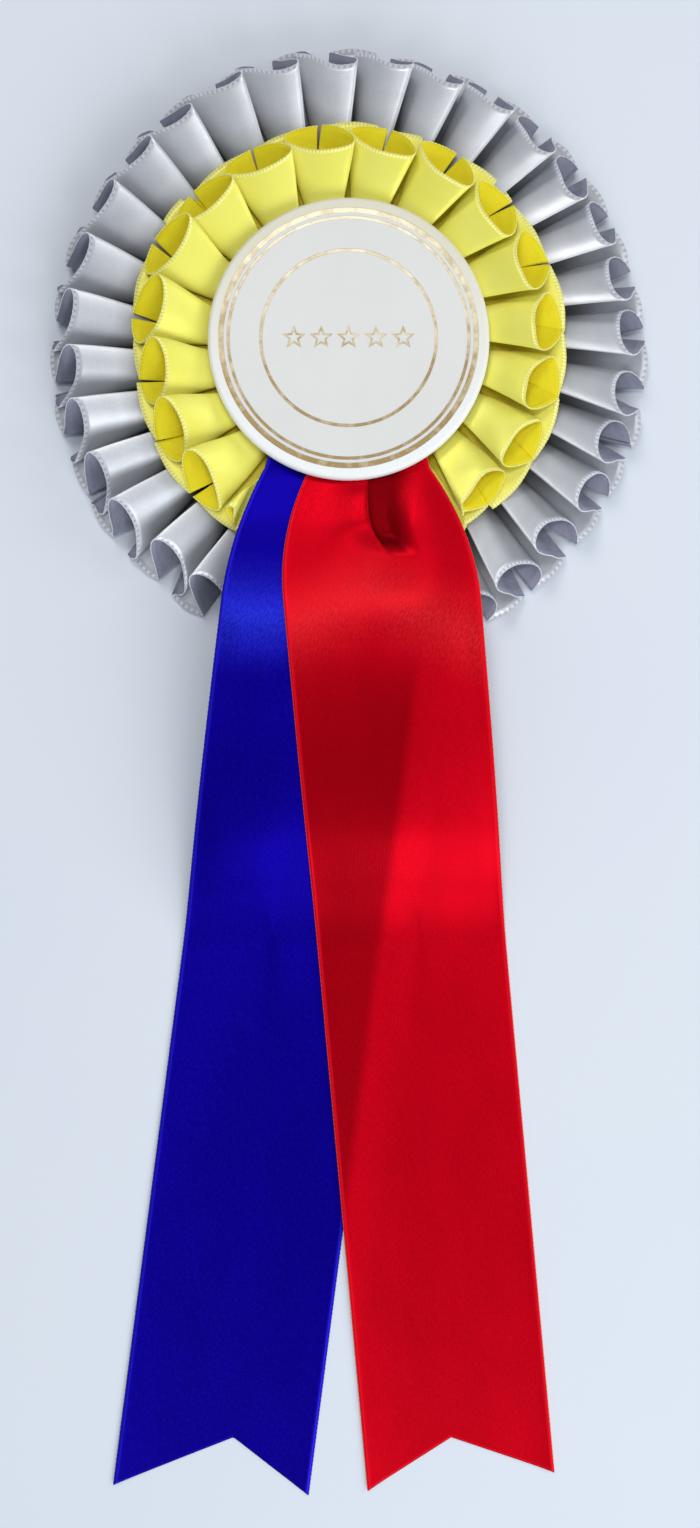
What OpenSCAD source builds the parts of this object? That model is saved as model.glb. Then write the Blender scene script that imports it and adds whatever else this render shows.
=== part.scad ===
// Two-tier pleated award rosette with a round centre disc, two satin tails and a brooch back.
// It lies face up: +Z leaves the face, the tails run towards -Y, and z = 0 is the back cover's
// outer face on the rosette's axis. The table that it lies on is at z = table_z.

/* [Rosette] */
// Radius of the outer tier, to the tips of its back panels
outer_r = 63.5; // [62:0.5:66]
// Number of box pleats in the outer tier
outer_pleat_count = 32; // [28:2:34]
// Radius of the inner tier, to the tips of its back panels
inner_r = 45; // [43:0.5:47]
// Number of box pleats in the inner tier
inner_pleat_count = 20; // [18:2:22]
// How far the outer tier's front panels stand up at the rim
outer_rise = 8; // [6:0.5:8.5]
// How far the inner tier's front panels stand up at the rim
inner_rise = 4; // [2.5:0.5:4.5]

/* [Centre disc] */
// Radius of the centre disc
disc_r = 29; // [28:0.5:29.5]
// Mean radius of the broad foil ring
broad_ring_r = 26.2; // [25.6:0.1:26.4]
// Mean radius of the fine foil ring next to it
fine_ring_r = 24.7; // [24:0.1:24.9]
// Mean radius of the small foil ring
small_ring_r = 18; // [16:0.5:20]
// Number of foil stars in the row across the centre
star_count = 5; // [3:2:5]

/* [Tails] */
// Width of the red ribbon
red_w = 40.2; // [38:0.2:41]
// Width of the blue ribbon
blue_w = 41.8; // [38:0.2:42]
// Length of the red tail from the rosette's axis to its corners
red_length = 242.8; // [180:0.2:260]
// Length of the blue tail from the rosette's axis to its corners
blue_length = 244.6; // [180:0.2:260]
// Depth of the swallowtail notch
notch_depth = 10; // [6:1:14]
// Angle of the red tail from straight down, towards +X
red_angle = 5.24; // [4:0.01:6]
// Angle of the blue tail from straight down, towards -X
blue_angle = 7.4; // [6:0.1:8]

/* [Brooch] */
// Length of the brooch bar
bar_length = 30; // [29:1:31]
// Radius of the pin wire
wire_r = 0.4; // [0.35:0.01:0.42]
// Radial clearance of the pin's eye on its rivet
rivet_clearance = 0.05; // [0.03:0.01:0.08]

/* [Hidden] */
$fn = 96;

// Colours
silver_satin = [0.72, 0.72, 0.80];
yellow_satin = [0.94, 0.92, 0.40];
red_satin = [0.86, 0.02, 0.08];
blue_satin = [0.08, 0.02, 0.68];
ivory = [0.87, 0.87, 0.84];
gold = [0.80, 0.66, 0.38];
grey_board = [0.58, 0.56, 0.52];
steel = [0.76, 0.77, 0.79];

// Heights of the stack, from the back cover's outer face up
table_z = -4.2;
cloth_t = 0.3;
cover_t = 0.3;
board_top = 1.5;
outer_card_top = 2.1;
outer_head_z = 2.3;
outer_packing_top = 4.25;
inner_card_z = 4.7;
inner_card_top = 5.3;
inner_head_z = 5.5;
inner_rim_z = 6.4;
inner_packing_top = 7.85;
blue_tuck_z = 7.9;
red_tuck_z = 8.35;
lip_z = 9.2;
disc_board_z = 9.4;
disc_board_top = 10.6;
disc_top = 11;

// Radii of the hidden rings and discs
outer_head_r = 20;
inner_head_r = 18.5;
packing_r = 17.5;
head_stack = 1.9;

// One box pleat, as [circumferential place in pitches, stacked height, share of the rise]:
// slit fold, left return and roll, front panel, right roll and return, slit fold
PLEAT = [
    [-0.07, 0.00, 0.00], [-0.07, 0.45, 0.04], [-0.32, 0.50, 0.12], [-0.50, 0.55, 0.19],
    [-0.56, 0.75, 0.30], [-0.50, 0.95, 0.41], [-0.20, 1.40, 0.76], [0.15, 1.75, 0.96],
    [0.46, 1.90, 1.00], [0.59, 1.65, 0.88], [0.48, 1.35, 0.72], [0.25, 0.90, 0.36],
    [0.07, 0.45, 0.04], [0.07, 0.00, 0.00]
];

// Shapes of the tails
tail_x = 2;
hinge_y = -32.5;
hinge_gap = 0.3;
tail_top_z = 9;
tail_rise_end = 44;
tail_fall_start = 86;
tail_fall_end = 126;
gather_end = 53.6;
tail_layer = 0.45;
tail_crossing_end = 190;
tail_columns = [0, 0.25, 0.5, 0.75, 1];
red_gather = 4.6;
blue_gather = 2.5;
tuck_head = -2;
tuck_narrowing = 0.65;

// Gathering threads
thread_r = 0.15;
thread_lift = 0.2;
outer_stitch_r = 21.8;
inner_stitch_r = 20;

// Staples: a flat crown with two legs, at [x, y, turn]
free_gap = 0.05;
staple_w = 0.4;
staple_hole = staple_w + 2 * free_gap;
tail_staple_places = [for (y = [-9, -13]) [tail_x, y, 0]];
tier_staple_places = [for (a = [0:90:270]) [11 * sin(a), 11 * cos(a), -a]];
tail_staple_span = 10;
tier_staple_span = 8;
tail_crown_z = red_tuck_z + cloth_t + 0.02;
tail_leg_z = 2.4;
tier_crown_z = outer_packing_top + 0.02;
tier_leg_z = 0.6;

// Foil and the edge of the centre disc
broad_ring_w = 1.05;
fine_ring_w = 0.6;
small_ring_w = 0.6;
foil_t = 0.06;
groove_depth = 0.12;
stars_pitch = 5.6;
star_r = 2.5;
star_inner = 0.45;
star_line = 0.5;
disc_edge = 0.9;

// Brooch, in its own plane: the bar along X, the rivet along Y
brooch_y = 9;
bar_w = 5;
bar_t = 0.55;
pin_z = -2;
rivet_x = -12;
rivet_r = 0.42;
ear_r = 1.2;
eye_w = 0.9;
ear_gap = 0.1;
ear_t = 0.5;
wire_start = -10.3;
wire_end = 9;
tip_end = 12.6;
catch_x = 11;
roller_r = 1.4;
roller_bore_r = 0.62;
roller_length = 2.6;
housing_length = 1.5;
housing_r = 1.75;
housing_foot = 1.8;
slot_w = 1;
flange_r = 1.65;
tab_height = 1.1;
tab_t = 0.6;
bar_z = cover_t - bar_t;
bar_hole_x = 5;
bar_hole_r = 0.8;
eye_r = 1;
rivet_head_r = 0.75;
rivet_head_t = 0.25;
tip_r = 0.08;
window = [34, 9];

function clamp01(t) = max(0, min(1, t));
function smooth(t) = let (s = clamp01(t)) s * s * (3 - 2 * s);
function mix(a, b, t) = a + (b - a) * t;
function polar_point(r, phi, z) = [r * sin(phi), r * cos(phi), z];

// The two triangles of one patch between corners a, b, c and d, split from a to c
function split(a, b, c, d) = [[a, b, c], [a, c, d]];

// Faces of a thin sheet of rows by count points, its upper skin first. A closed sheet's last
// point joins its first one, an open sheet has two side edges.
function sheet_faces(rows, count, closed) = let (
    skin = rows * count, last = (rows - 1) * count, steps = closed ? count : count - 1
) [
    for (j = [0:steps - 1]) let (k = (j + 1) % count) each concat(
        [for (i = [0:rows - 2]) let (a = i * count, b = a + count) each split(a + j, b + j, b + k, a + k)],
        [for (i = [0:rows - 2]) let (a = skin + i * count, b = a + count)
            each split(a + j, a + k, b + k, b + j)],
        split(j, k, skin + k, skin + j),
        split(last + k, last + j, skin + last + j, skin + last + k)
    ),
    if (!closed) for (i = [0:rows - 2]) let (a = i * count, b = a + count) each concat(
        split(b, a, skin + a, skin + b),
        split(a + count - 1, b + count - 1, skin + b + count - 1, skin + a + count - 1)
    )
];

// A pleated ribbon closed into a ring. knee is the share of its width that lies flat on the card,
// and pleats within flat_angle of straight down are pressed flat by the tails.
module pleated_ring(count, head_r, rim_r, head_z, rim_z, rise, set_back, phase, swirl, knee, flat_angle) {
    pitch = 360 / count;
    rows = [0, knee, 1];
    total = count * len(PLEAT);
    function phi_of(i) = phase + pitch * floor(i / len(PLEAT)) + pitch * PLEAT[i % len(PLEAT)][0];
    function pressed(phi) = let (down = abs(((phi % 360) + 360) % 360 - 180))
        flat_angle == 0 ? 1 : clamp01((down - flat_angle) / 10);
    function spread(v) = clamp01((v - knee) / (1 - knee));
    function lift(v) = mix(0.15 * v, 1, spread(v));
    function radius_of(i, v) = let (p = PLEAT[i % len(PLEAT)])
        mix(head_r, rim_r - set_back * p[2] * pressed(phi_of(i)), v);
    function height_of(i, v) = let (p = PLEAT[i % len(PLEAT)])
        mix(head_z, rim_z, spread(v)) + p[1] + p[2] * rise * pressed(phi_of(i)) * lift(v);
    function arc_of(i, v) = phi_of(i) * PI / 180 * mix(head_r, rim_r, v);
    function side(i, v, s) = let (
        a = (i + total - 1) % total, b = (i + 1) % total, r = mix(head_r, rim_r, v),
        wrap = 2 * PI * r,
        run = arc_of(b, v) - arc_of(a, v) + (b < a ? wrap : 0),
        climb = height_of(b, v) - height_of(a, v), size = norm([run, climb]),
        turn = -climb / size * s * cloth_t / 2 / r * 180 / PI
    ) polar_point(radius_of(i, v), phi_of(i) + swirl * v + turn,
        height_of(i, v) + run / size * s * cloth_t / 2);
    polyhedron(
        points = concat(
            [for (v = rows, i = [0:total - 1]) side(i, v, 1)],
            [for (v = rows, i = [0:total - 1]) side(i, v, -1)]
        ),
        faces = sheet_faces(len(rows), total, true)
    );
}

module outer_pleats() {
    color(silver_satin) pleated_ring(outer_pleat_count, outer_head_r, outer_r, outer_head_z,
        table_z + cloth_t / 2, outer_rise, 6, -5.5, 2, 0.3, 0);
}

module inner_pleats() {
    color(yellow_satin) pleated_ring(inner_pleat_count, inner_head_r, inner_r, inner_head_z,
        inner_rim_z, inner_rise, 6.5, -8.6, 4, 0.4, 46);
}

// The gathering thread that lies on the pleats' heading
module stitching(r, head_z) {
    color("white") translate([0, 0, head_z + head_stack + cloth_t / 2 + thread_lift])
        rotate_extrude() translate([r, 0]) circle(r = thread_r, $fn = 16);
}

module outer_stitching() {
    stitching(outer_stitch_r, outer_head_z);
}

module inner_stitching() {
    stitching(inner_stitch_r, inner_head_z);
}

module staple(span, crown_z, leg_z) {
    translate([-span / 2, -staple_w / 2, crown_z]) cube([span, staple_w, staple_w]);
    for (x = [-span / 2, span / 2 - staple_w])
        translate([x, -staple_w / 2, leg_z]) cube([staple_w, staple_w, crown_z + staple_w - leg_z]);
}

module staple_legs(places, span, leg_z, top_z) {
    for (p = places, side = [-1, 1])
        translate([p[0], p[1], 0]) rotate(p[2])
            translate([side * (span - staple_w) / 2 - staple_hole / 2, -staple_hole / 2, leg_z - free_gap])
                cube([staple_hole, staple_hole, top_z - leg_z]);
}

module tail_staple_holes() {
    staple_legs(tail_staple_places, tail_staple_span, tail_leg_z, tail_crown_z);
}

module tier_staple_holes() {
    staple_legs(tier_staple_places, tier_staple_span, tier_leg_z, tier_crown_z);
}

module tail_staples() {
    color(steel) for (p = tail_staple_places) translate([p[0], p[1], 0]) rotate(p[2])
        staple(tail_staple_span, tail_crown_z, tail_leg_z);
}

module tier_staples() {
    color(steel) for (p = tier_staple_places) translate([p[0], p[1], 0]) rotate(p[2])
        staple(tier_staple_span, tier_crown_z, tier_leg_z);
}

// Cards and packing discs
module disc(r, z0, z1) {
    translate([0, 0, z0]) cylinder(r = r, h = z1 - z0);
}

module outer_card() {
    color(grey_board) difference() {
        disc(32, board_top, outer_card_top);
        tier_staple_holes();
    }
}

module outer_packing() {
    color(grey_board) difference() {
        disc(packing_r, outer_card_top, outer_packing_top);
        tier_staple_holes();
        tail_staple_holes();
    }
}

module inner_card() {
    color(grey_board) difference() {
        disc(26, inner_card_z, inner_card_top);
        tail_staple_holes();
    }
}

module inner_packing() {
    color(grey_board) difference() {
        disc(packing_r, inner_card_top, inner_packing_top);
        tail_staple_holes();
    }
}

module back_board() {
    color(grey_board) difference() {
        disc(30, cover_t, board_top);
        tier_staple_holes();
    }
}

// Adhesive paper disc with a window that the brooch stands through
module back_cover() {
    color("white") difference() {
        disc(28, 0, cover_t);
        translate([0, brooch_y, 0]) cube([window[0], window[1], 3 * cover_t], center = true);
    }
}

// Half-round foam pad between the packing and the centre board, beside the tails
module foam_pad() {
    color("whitesmoke") intersection() {
        disc(packing_r, inner_packing_top, disc_board_z);
        translate([-packing_r, -1, 0]) cube([2 * packing_r, 2 * packing_r, 2 * disc_top]);
    }
}

// Centre disc
module ring_profile(r, w, z0, z1) {
    translate([r - w / 2, z0]) square([w, z1 - z0]);
}

module groove(r, w) {
    rotate_extrude() ring_profile(r, w + 2 * free_gap, disc_top - groove_depth, disc_top + 1);
}

module foil_ring(r, w) {
    color(gold) rotate_extrude()
        ring_profile(r, w, disc_top - groove_depth, disc_top - groove_depth + foil_t);
}

module star(r) {
    polygon([for (i = [0:9]) let (q = i % 2 == 0 ? r : r * star_inner) [q * sin(36 * i), q * cos(36 * i)]]);
}

module star_outline(grow) {
    difference() {
        star(star_r + grow);
        star(star_r - 2 * star_line - grow);
    }
}

module star_row(z, h, grow) {
    for (i = [0:star_count - 1])
        translate([(i - (star_count - 1) / 2) * stars_pitch, 0, z])
            linear_extrude(h) star_outline(grow);
}

module centre_cover() {
    color(ivory) difference() {
        rotate_extrude() polygon(concat(
            [[0, disc_top], [0, disc_board_top], [disc_r - 0.5, disc_board_top]],
            [[disc_r - 0.5, disc_board_z], [disc_r - 2, disc_board_z], [disc_r - 2, lip_z]],
            [[disc_r - 0.2, lip_z], [disc_r, lip_z + 0.2]],
            [for (a = [0:15:90]) [disc_r - disc_edge * (1 - cos(a)), disc_top - disc_edge * (1 - sin(a))]]
        ));
        groove(broad_ring_r, broad_ring_w);
        groove(fine_ring_r, fine_ring_w);
        groove(small_ring_r, small_ring_w);
        star_row(disc_top - groove_depth, 1, free_gap);
    }
}

module centre_board() {
    color(grey_board) disc(disc_r - 0.6, disc_board_z, disc_board_top);
}

module broad_foil_ring() {
    foil_ring(broad_ring_r, broad_ring_w);
}

module fine_foil_ring() {
    foil_ring(fine_ring_r, fine_ring_w);
}

module small_foil_ring() {
    foil_ring(small_ring_r, small_ring_w);
}

module foil_stars() {
    color(gold) star_row(disc_top - groove_depth, foil_t, 0);
}

// Tails: rows run along X, columns along the ribbon
function tail_height(y) = let (
    up = smooth((-y + hinge_y) / (tail_rise_end + hinge_y)),
    down = smooth((-y - tail_fall_start) / (tail_fall_end - tail_fall_start))
) mix(mix(0, tail_top_z - blue_tuck_z, up), table_z - blue_tuck_z, down);

// Distances down the object of a tail's rows at one column, with the swallowtail in the last row
function row_places(column, length) = [
    -hinge_y + hinge_gap, 38, tail_rise_end, 60, tail_fall_start, 94, 102, 110, 118, tail_fall_end,
    tail_crossing_end, length - notch_depth * (1 - abs(2 * column - 1))
];

function half_width(y, w, gather) = w / 2 - gather * pow(clamp01((gather_end + y) / 21), 2);

// One tail: lean is its sideways run per unit of length, base the height of its underside at
// the hinge, over the height that it keeps over the table where it crosses the other tail
module tail(w, length, lean, base, over, gather) {
    function flat_share(y) = smooth((-y - tail_fall_start) / (tail_fall_end - tail_fall_start));
    rows = len(row_places(0, length));
    function lap(y) = over * (1 - smooth((-y - tail_crossing_end) / 30));
    function place(row, c, top) = let (
        y = -row_places(c, length)[row],
        x = tail_x - y * lean + (2 * c - 1) * half_width(y, w, gather),
        z = base + tail_height(y) - flat_share(y) * (base - blue_tuck_z - lap(y))
    ) [x, y, z + (top ? cloth_t : 0)];
    polyhedron(
        points = concat(
            [for (r = [0:rows - 1], c = tail_columns) place(r, c, true)],
            [for (r = [0:rows - 1], c = tail_columns) place(r, c, false)]
        ),
        faces = sheet_faces(rows, len(tail_columns), false)
    );
}

module red_tail() {
    color(red_satin) tail(red_w / cos(red_angle), red_length * cos(red_angle), tan(red_angle),
        red_tuck_z, tail_layer, red_gather);
}

module blue_tail() {
    color(blue_satin) tail(blue_w / cos(blue_angle), blue_length * cos(blue_angle), -tan(blue_angle),
        blue_tuck_z, 0, blue_gather);
}

// The fixed top of a tail, tucked under the centre disc and stapled down
module tail_tuck(w, lean, gather, z) {
    foot = hinge_y + hinge_gap;
    head = tuck_head;
    foot_half = half_width(foot, w, gather);
    head_half = foot_half * tuck_narrowing;
    difference() {
        translate([0, 0, z]) linear_extrude(cloth_t) polygon([
            [tail_x - foot * lean - foot_half, foot], [tail_x - foot * lean + foot_half, foot],
            [tail_x - head * lean + head_half, head], [tail_x - head * lean - head_half, head]
        ]);
        tail_staple_holes();
    }
}

module red_tail_tuck() {
    color(red_satin) tail_tuck(red_w, tan(red_angle), red_gather, red_tuck_z);
}

module blue_tail_tuck() {
    color(blue_satin) tail_tuck(blue_w, -tan(blue_angle), blue_gather, blue_tuck_z);
}

// Brooch: shapes along Y or X about a point of the brooch's plane
module y_cylinder(x, r, y0, y1) {
    translate([x, brooch_y + y1, pin_z]) rotate([90, 0, 0]) cylinder(r = r, h = y1 - y0, $fn = 48);
}

module x_cylinder(r, x0, x1) {
    translate([x0, brooch_y, pin_z]) rotate([0, 90, 0]) cylinder(r = r, h = x1 - x0, $fn = 48);
}

module brooch_bar() {
    color(steel) difference() {
        union() {
            translate([0, brooch_y, bar_z]) linear_extrude(bar_t) difference() {
                union() {
                    square([bar_length - bar_w, bar_w], center = true);
                    for (s = [-1, 1]) translate([s * (bar_length - bar_w) / 2, 0]) circle(d = bar_w);
                }
                for (s = [-1, 1]) translate([s * bar_hole_x, 0]) circle(r = bar_hole_r);
            }
            for (s = [-1, 1]) ear(s);
        }
        y_cylinder(rivet_x, rivet_r, -5, 5);
    }
}

// One of the two ears that hold the rivet
module ear(side) {
    inner = eye_w / 2 + ear_gap;
    y0 = side > 0 ? inner : -inner - ear_t;
    y_cylinder(rivet_x, ear_r, y0, y0 + ear_t);
    translate([rivet_x - ear_r, brooch_y + y0, pin_z]) cube([2 * ear_r, ear_t, bar_z - pin_z]);
}

module brooch_rivet() {
    half = eye_w / 2 + ear_gap + ear_t;
    color(steel) {
        y_cylinder(rivet_x, rivet_r, -half, half);
        for (y = [-half - rivet_head_t, half]) y_cylinder(rivet_x, rivet_head_r, y, y + rivet_head_t);
    }
}

module brooch_pin() {
    color(steel) {
        difference() {
            union() {
                y_cylinder(rivet_x, eye_r, -eye_w / 2, eye_w / 2);
                translate([rivet_x, brooch_y - eye_w / 2, pin_z - eye_w / 2])
                    cube([wire_start - rivet_x, eye_w, eye_w]);
            }
            y_cylinder(rivet_x, rivet_r + rivet_clearance, -5, 5);
        }
        x_cylinder(wire_r, wire_start, wire_end);
        translate([wire_end, brooch_y, pin_z]) rotate([0, 90, 0])
            cylinder(r1 = wire_r, r2 = tip_r, h = tip_end - wire_end, $fn = 48);
    }
}

// Open sleeve under the bar that holds the safety roller
module catch_housing() {
    x0 = catch_x - housing_length / 2;
    color(steel) difference() {
        union() {
            x_cylinder(housing_r, x0, x0 + housing_length);
            translate([x0, brooch_y - housing_foot / 2, pin_z])
                cube([housing_length, housing_foot, bar_z - pin_z]);
        }
        x_cylinder(roller_r + free_gap, x0 - 1, x0 + housing_length + 1);
        translate([x0 - 1, brooch_y - slot_w / 2, pin_z - 3]) cube([housing_length + 2, slot_w, 3]);
    }
}

// Roller with end flanges, a slot that the pin drops through and a thumb tab
module catch_roller() {
    x0 = catch_x - roller_length / 2;
    flange = (roller_length - housing_length) / 2 - free_gap;
    color(steel) difference() {
        union() {
            x_cylinder(roller_r, x0, x0 + roller_length);
            x_cylinder(flange_r, x0, x0 + flange);
            x_cylinder(flange_r, x0 + roller_length - flange, x0 + roller_length);
            translate([x0 + roller_length - flange, brooch_y + 1, pin_z - tab_t / 2])
                cube([flange, tab_height, tab_t]);
        }
        x_cylinder(roller_bore_r, x0 - 1, x0 + roller_length + 1);
        translate([x0 - 1, brooch_y - slot_w / 2, pin_z - 3]) cube([roller_length + 2, slot_w, 3]);
    }
}

outer_pleats();
inner_pleats();
outer_stitching();
inner_stitching();
outer_card();
inner_card();
outer_packing();
inner_packing();
centre_cover();
centre_board();
broad_foil_ring();
fine_foil_ring();
small_foil_ring();
foil_stars();
foam_pad();
red_tail();
blue_tail();
red_tail_tuck();
blue_tail_tuck();
tail_staples();
tier_staples();
back_board();
back_cover();
brooch_bar();
brooch_rivet();
brooch_pin();
catch_housing();
catch_roller();
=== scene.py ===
import math

import bpy
import numpy as np
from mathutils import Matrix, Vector


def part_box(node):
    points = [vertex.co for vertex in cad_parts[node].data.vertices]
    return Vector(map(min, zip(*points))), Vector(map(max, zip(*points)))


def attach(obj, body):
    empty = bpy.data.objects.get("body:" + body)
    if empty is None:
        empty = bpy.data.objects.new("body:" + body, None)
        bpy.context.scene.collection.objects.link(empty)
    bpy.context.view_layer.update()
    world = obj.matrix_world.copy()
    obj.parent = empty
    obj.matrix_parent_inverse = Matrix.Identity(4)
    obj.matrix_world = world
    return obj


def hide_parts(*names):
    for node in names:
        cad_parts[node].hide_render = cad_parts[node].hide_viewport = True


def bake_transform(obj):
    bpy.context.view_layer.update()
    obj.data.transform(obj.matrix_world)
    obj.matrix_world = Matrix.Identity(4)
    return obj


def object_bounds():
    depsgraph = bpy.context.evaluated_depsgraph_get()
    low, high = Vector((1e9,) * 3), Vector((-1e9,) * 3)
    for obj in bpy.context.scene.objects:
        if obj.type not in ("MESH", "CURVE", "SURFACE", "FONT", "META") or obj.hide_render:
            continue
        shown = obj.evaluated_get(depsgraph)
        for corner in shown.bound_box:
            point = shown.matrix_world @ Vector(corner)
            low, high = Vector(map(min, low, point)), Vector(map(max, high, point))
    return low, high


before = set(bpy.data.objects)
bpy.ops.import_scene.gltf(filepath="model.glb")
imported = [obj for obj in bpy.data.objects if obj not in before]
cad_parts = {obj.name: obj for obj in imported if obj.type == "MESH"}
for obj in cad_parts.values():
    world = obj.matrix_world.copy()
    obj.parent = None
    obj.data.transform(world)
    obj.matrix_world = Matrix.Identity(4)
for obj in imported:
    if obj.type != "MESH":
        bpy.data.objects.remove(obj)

MM = 0.001
CAD_LOW, CAD_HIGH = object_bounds()
scene = bpy.context.scene

# Lengths are millimetres and angles degrees, except in LIGHTS.
TABLE = CAD_LOW.z / MM
FLOOR_GAP = 0.02
FLOOR_SIZE = 6000
FLOOR_MIDDLE_Y = -90
CAMERA_PLACE = (0.3, -87.4, TABLE + 310)
CAMERA_HALF_ANGLE = 27.98
SENSOR = 36
SKY = (0.82, 0.90, 1.0, 1)
SKY_STRENGTH = 0.24
# Softboxes, in metres and watts: name, place, target, size, power and colour
LIGHTS = [
    ("key", (-0.18, 0.50, 0.80), (0, -0.03, 0), (0.30, 0.25), 2.6, (1.0, 0.98, 0.95)),
    ("overhead", (-0.05, 0.05, 0.95), (0, -0.06, 0), (0.40, 0.14), 1.75, (1.0, 1.0, 1.0)),
    ("front", (0.30, -0.80, 0.52), (0, -0.10, 0), (0.7, 0.5), 5.2, (0.94, 0.97, 1.0)),
    ("side", (0.60, 0.10, 0.34), (0, 0, 0), (0.3, 0.3), 1.1, (1.0, 1.0, 1.0)),
]


# ---------------------------------------------------------------- camera and light
def make_camera():
    data = bpy.data.cameras.new("camera")
    data.sensor_width = SENSOR
    data.lens = SENSOR / 2 / math.tan(math.radians(CAMERA_HALF_ANGLE))
    data.clip_start, data.clip_end = 0.01, 20
    camera = bpy.data.objects.new("camera", data)
    camera.location = Vector(CAMERA_PLACE) * MM
    scene.collection.objects.link(camera)
    scene.camera = camera


def area_light(name, place, target, size, power, colour):
    data = bpy.data.lights.new(name, "AREA")
    data.shape = "RECTANGLE"
    data.size, data.size_y = size
    data.energy = power
    data.color = colour
    light = bpy.data.objects.new(name, data)
    light.location = place
    light.rotation_mode = "QUATERNION"
    light.rotation_quaternion = (Vector(target) - Vector(place)).to_track_quat("-Z", "Y")
    scene.collection.objects.link(light)


def make_sky():
    world = bpy.data.worlds.new("studio")
    scene.world = world
    world.use_nodes = True
    background = world.node_tree.nodes["Background"]
    background.inputs["Color"].default_value = SKY
    background.inputs["Strength"].default_value = SKY_STRENGTH


# ---------------------------------------------------------------- node helpers
class Nodes:
    """A short way to write a material's node tree."""

    def __init__(self, name):
        self.material = bpy.data.materials.new(name)
        self.material.use_nodes = True
        self.tree = self.material.node_tree
        self.shader = self.tree.nodes["Principled BSDF"]

    def add(self, kind, **settings):
        node = self.tree.nodes.new("ShaderNode" + kind)
        for key, value in settings.items():
            setattr(node, key, value)
        return node

    def link(self, source, target):
        self.tree.links.new(source, target)

    def fill(self, node, inputs):
        for key, value in inputs.items():
            socket = node.inputs[key]
            if isinstance(value, bpy.types.NodeSocket):
                self.link(value, socket)
            else:
                socket.default_value = value

    def math(self, operation, a, b=0.0, clamp=False):
        node = self.add("Math", operation=operation, use_clamp=clamp)
        self.fill(node, {0: a, 1: b})
        return node.outputs[0]

    def mix(self, factor, a, b):
        node = self.add("Mix", data_type="RGBA", blend_type="MIX")
        self.fill(node, {0: factor, 6: a, 7: b})
        return node.outputs[2]

    def ramp(self, value, low, high, to_low=0.0, to_high=1.0):
        node = self.add("MapRange")
        self.fill(node, {0: value, 1: low, 2: high, 3: to_low, 4: to_high})
        return node.outputs[0]

    def noise(self, vector, scale, detail, rough):
        node = self.add("TexNoise")
        self.fill(node, {"Vector": vector, "Scale": scale, "Detail": detail, "Roughness": rough})
        return node.outputs["Fac"]

    def stretched(self, vector, x, y, z=1.0):
        node = self.add("Mapping")
        self.fill(node, {"Vector": vector, "Scale": (x, y, z)})
        return node.outputs[0]

    def turned(self, vector, angle):
        node = self.add("Mapping")
        self.fill(node, {"Vector": vector, "Rotation": (0, 0, math.radians(angle))})
        return node.outputs[0]

    def bump(self, height, distance, strength):
        node = self.add("Bump")
        self.fill(node, {"Strength": strength, "Distance": distance, "Height": height})
        return node.outputs[0]

    def wave(self, value, period):
        """A sine of value, from -1 to 1, with a period in millimetres."""
        return self.math("SINE", self.math("MULTIPLY", value, 2 * math.pi / (period * MM)))

    def ribbon_uv(self):
        """The ribbon's coordinates, and their parts along and across it."""
        uv = self.add("UVMap", uv_map="ribbon").outputs[0]
        parts = self.add("SeparateXYZ")
        self.link(uv, parts.inputs[0])
        return uv, parts.outputs[0], parts.outputs[1]

    def shade(self):
        """The painted shade that add_shade gives to a piece's points."""
        return self.add("Attribute", attribute_name="shade").outputs["Fac"]

    def object_place(self):
        """The place on the object, and its x and y."""
        place = self.add("TexCoord").outputs["Object"]
        parts = self.add("SeparateXYZ")
        self.link(place, parts.inputs[0])
        return place, parts.outputs[0], parts.outputs[1]

    def finish(self, colour, rough, metal=0.0, normal=None, **more):
        self.fill(self.shader, {"Base Color": colour, "Roughness": rough, "Metallic": metal})
        if normal is not None:
            self.link(normal, self.shader.inputs["Normal"])
        for key, value in more.items():
            self.shader.inputs[key.replace("_", " ")].default_value = value
        return self.material


def rgb(r, g, b):
    return (r, g, b, 1.0)


# The weave: slant of the satin's floats, pitch of its ribs and of the threads across them, pitch of
# the ribs on the wrong side, and of a sewing thread's twist
FLOAT_SLANT = 28
RIB_PITCH = 0.62
WEFT_PITCH = 0.5
REVERSE_PITCH = 0.7
TWIST_PITCH = 0.4


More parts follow.
